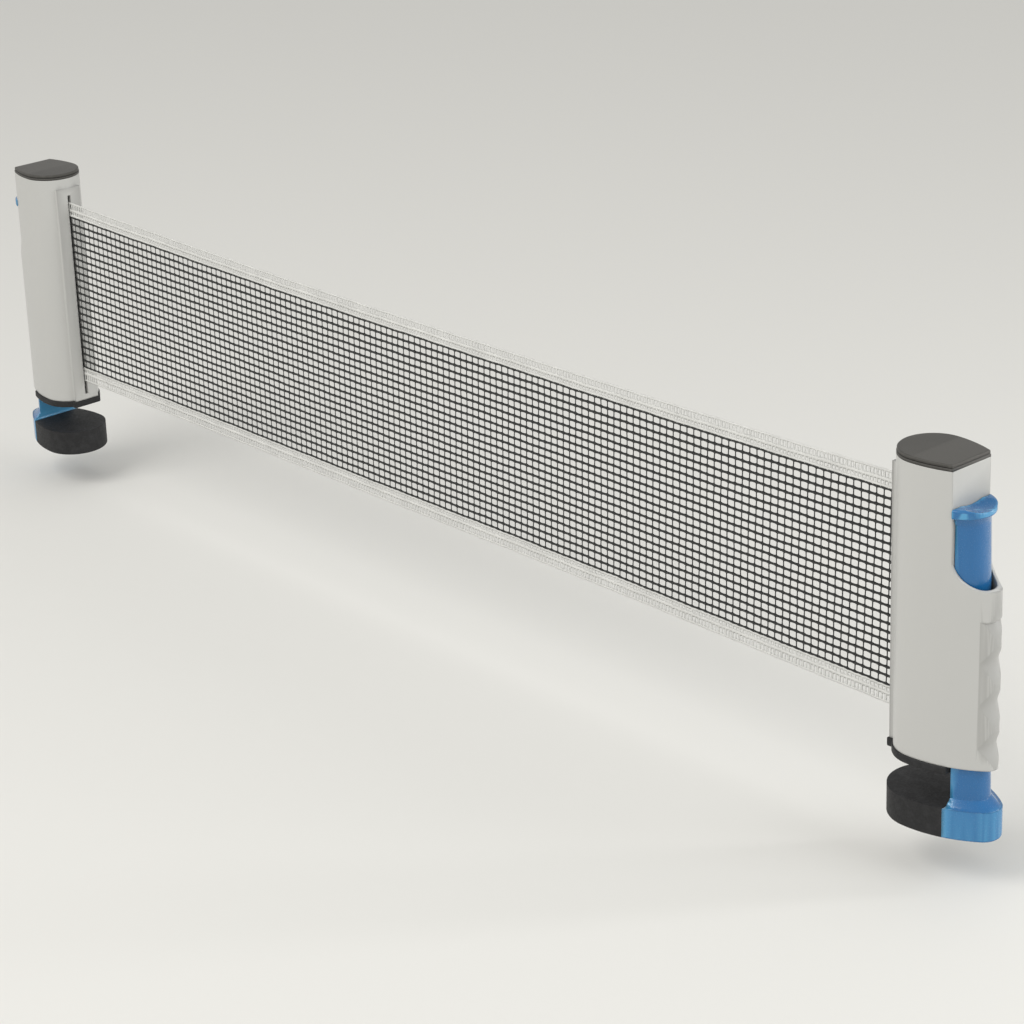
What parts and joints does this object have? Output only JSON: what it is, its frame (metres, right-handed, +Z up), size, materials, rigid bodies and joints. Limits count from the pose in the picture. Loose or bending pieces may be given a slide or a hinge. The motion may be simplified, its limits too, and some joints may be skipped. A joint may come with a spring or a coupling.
{
  "type": "table tennis net clamp set",
  "caption": "Retractable table tennis net: clamp posts with sprung sliders grip a table's edges and a net winds onto rollers inside them.",
  "frame": {"origin": "on the table top under the left post, at the centre of its round net end", "axes": "+X along the net to the right post, +Y along the table's length, +Z up"},
  "size_m": [1.021, 0.051, 0.2355],
  "materials": {
    "housing_grey": "satin light grey moulding",
    "cap_grey": "satin dark grey moulding",
    "inner_black": "black moulding",
    "rubber_black": "soft black rubber",
    "clamp_blue": "satin blue moulding",
    "bush_white": "plain white moulding",
    "tube_aluminium": "drawn tube",
    "steel": "zinc-plated steel",
    "spring_steel": "spring wire",
    "net_dark": "woven dark thread",
    "band_white": "white lace band"
  },
  "bodies": {
    "left_post": {"left_housing": "housing_grey", "left_cap": "cap_grey", "left_base_plate": "inner_black", "left_base_pad": "rubber_black", "left_top_bracket": "inner_black", "left_base_screws": "steel", "left_bracket_screws": "steel", "left_roller_axle": "steel", "left_axle_clip": "steel", "left_spring_collar": "inner_black", "left_roller_spring": "spring_steel", "left_lower_bush": "bush_white", "left_upper_bush": "bush_white", "left_anchor_pin": "steel", "left_clamp_spring": "spring_steel", "net_mesh": "net_dark", "lower_band": "band_white", "upper_band": "band_white"},
    "left_roller": {"left_roller_tube": "tube_aluminium", "left_lower_plug": "inner_black", "left_upper_plug": "inner_black", "left_key_strip": "bush_white", "left_net_roll": "net_dark"},
    "left_clamp": {"left_clamp_slider": "clamp_blue", "left_jaw_boot": "rubber_black", "left_slider_pin": "steel"},
    "right_post": {"right_housing": "housing_grey", "right_cap": "cap_grey", "right_base_plate": "inner_black", "right_base_pad": "rubber_black", "right_top_bracket": "inner_black", "right_base_screws": "steel", "right_bracket_screws": "steel", "right_roller_axle": "steel", "right_axle_clip": "steel", "right_spring_collar": "inner_black", "right_roller_spring": "spring_steel", "right_lower_bush": "bush_white", "right_upper_bush": "bush_white", "right_anchor_pin": "steel", "right_clamp_spring": "spring_steel"},
    "right_roller": {"right_roller_tube": "tube_aluminium", "right_lower_plug": "inner_black", "right_upper_plug": "inner_black", "right_key_strip": "bush_white", "right_net_roll": "net_dark"},
    "right_clamp": {"right_clamp_slider": "clamp_blue", "right_jaw_boot": "rubber_black", "right_slider_pin": "steel"}
  },
  "joints": [
    {"name": "post_travel", "type": "slide", "parent": "left_post", "child": "right_post", "axis": [1, 0, 0], "range_m": [-0.86, 0], "deforming": ["net_mesh", "lower_band", "upper_band"]},
    {"name": "left_clamp_slide", "type": "slide", "parent": "left_post", "child": "left_clamp", "axis": [0, 0, -1], "range_m": [0, 0.026], "stiffness_N_per_m": 450, "springref_m": -0.0267, "deforming": ["left_clamp_spring"]},
    {"name": "left_roller_spin", "type": "hinge", "parent": "left_post", "child": "left_roller", "pos_m": [0.003, 0.0078, 0], "axis": [0, 0, 1], "range_deg": [-2700, 0]},
    {"name": "right_clamp_slide", "type": "slide", "parent": "right_post", "child": "right_clamp", "axis": [0, 0, -1], "range_m": [0, 0.026], "stiffness_N_per_m": 450, "springref_m": -0.0267, "deforming": ["right_clamp_spring"]},
    {"name": "right_roller_spin", "type": "hinge", "parent": "right_post", "child": "right_roller", "pos_m": [0.913, -0.0078, 0], "axis": [0, 0, 1], "range_deg": [-2700, 0]}
  ],
  "couplings": [
    {"joint": "left_roller_spin", "follows": "post_travel", "rad_per_m": 54.35},
    {"joint": "right_roller_spin", "follows": "post_travel", "rad_per_m": 54.35}
  ]
}
